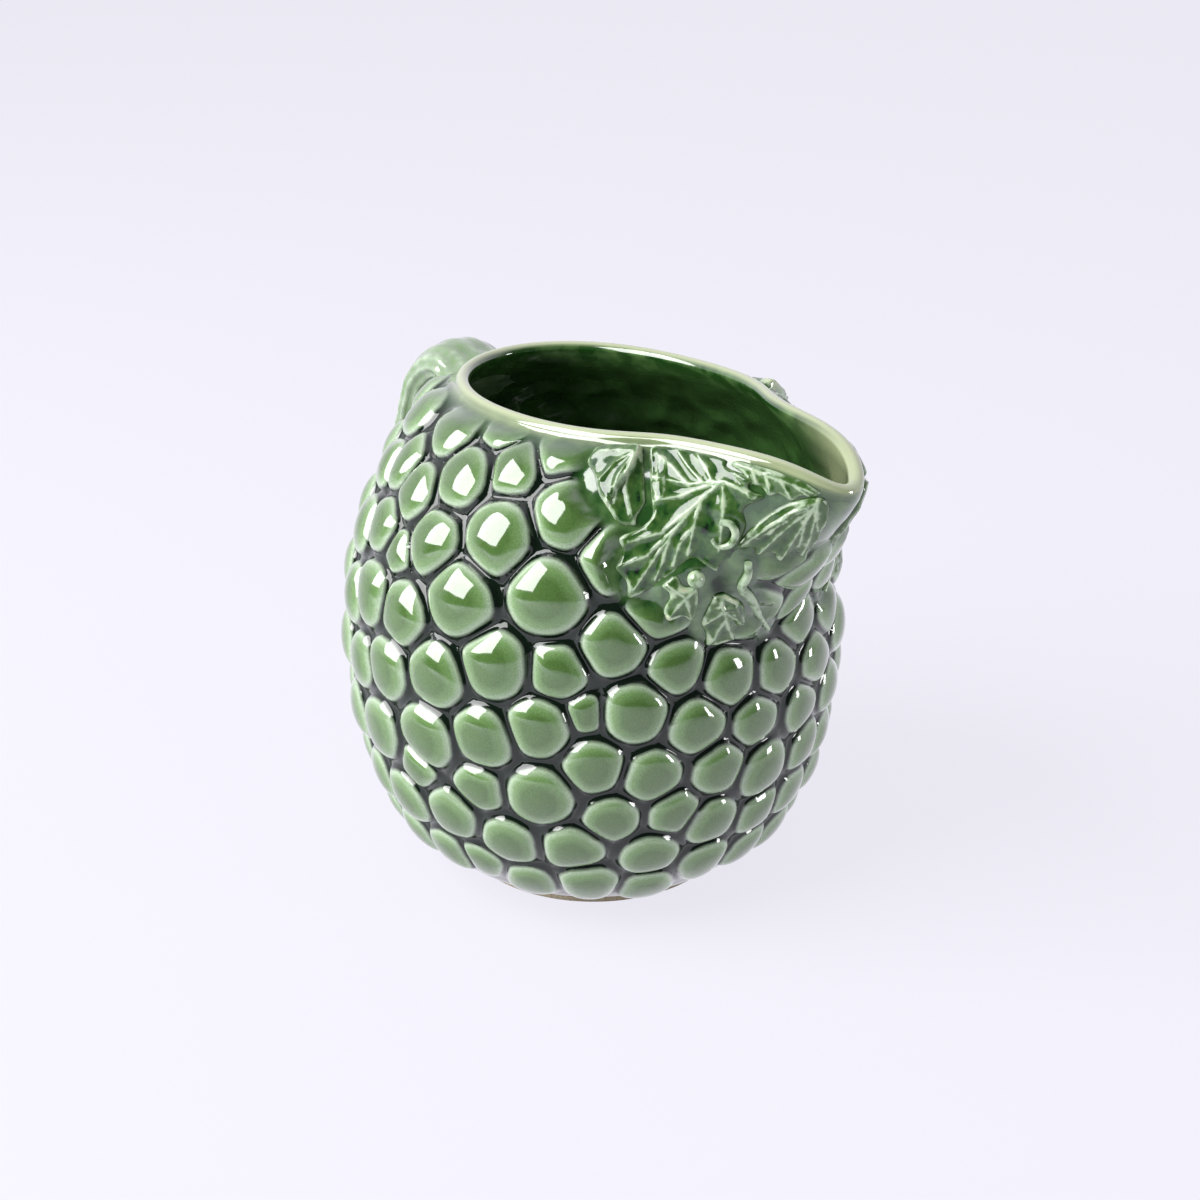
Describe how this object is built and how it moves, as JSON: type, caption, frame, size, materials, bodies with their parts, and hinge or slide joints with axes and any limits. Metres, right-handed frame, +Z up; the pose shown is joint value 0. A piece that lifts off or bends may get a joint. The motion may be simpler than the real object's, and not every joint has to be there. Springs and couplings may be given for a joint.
{
  "type": "grape jug",
  "caption": "Round-bellied glazed earthenware jug covered in raised grapes, with a pouring lip hung with vine leaves and a bent-branch handle.",
  "frame": {"origin": "on the floor, on the axis of the jug's round belly", "axes": "+X towards the spout, the handle at -X, +Z up, the pictured right side towards -Y"},
  "size_m": [0.1956, 0.1514, 0.1525],
  "materials": {
    "grape_glaze": "glossy",
    "leaf_glaze": "glossy",
    "stem_glaze": "glossy",
    "branch_glaze": "glossy",
    "bare_clay": "matte"
  },
  "bodies": {
    "root": {"jug_body": "grape_glaze", "foot_ring": "bare_clay", "handle": "branch_glaze", "large_vine_leaf_right": "leaf_glaze", "large_vine_leaf_left": "leaf_glaze", "folded_leaf_right": "leaf_glaze", "folded_leaf_left": "leaf_glaze", "spout_leaf_right": "leaf_glaze", "spout_leaf_left": "leaf_glaze", "throat_leaf_right": "leaf_glaze", "throat_leaf_left": "leaf_glaze", "small_leaf_upper_right": "leaf_glaze", "small_leaf_upper_left": "leaf_glaze", "small_leaf_lower_right": "leaf_glaze", "small_leaf_lower_left": "leaf_glaze", "berry_bud_right": "leaf_glaze", "berry_bud_left": "leaf_glaze", "tendril_right": "stem_glaze", "tendril_left": "stem_glaze", "vine_stem_right": "stem_glaze", "vine_stem_left": "stem_glaze"}
  },
  "joints": []
}
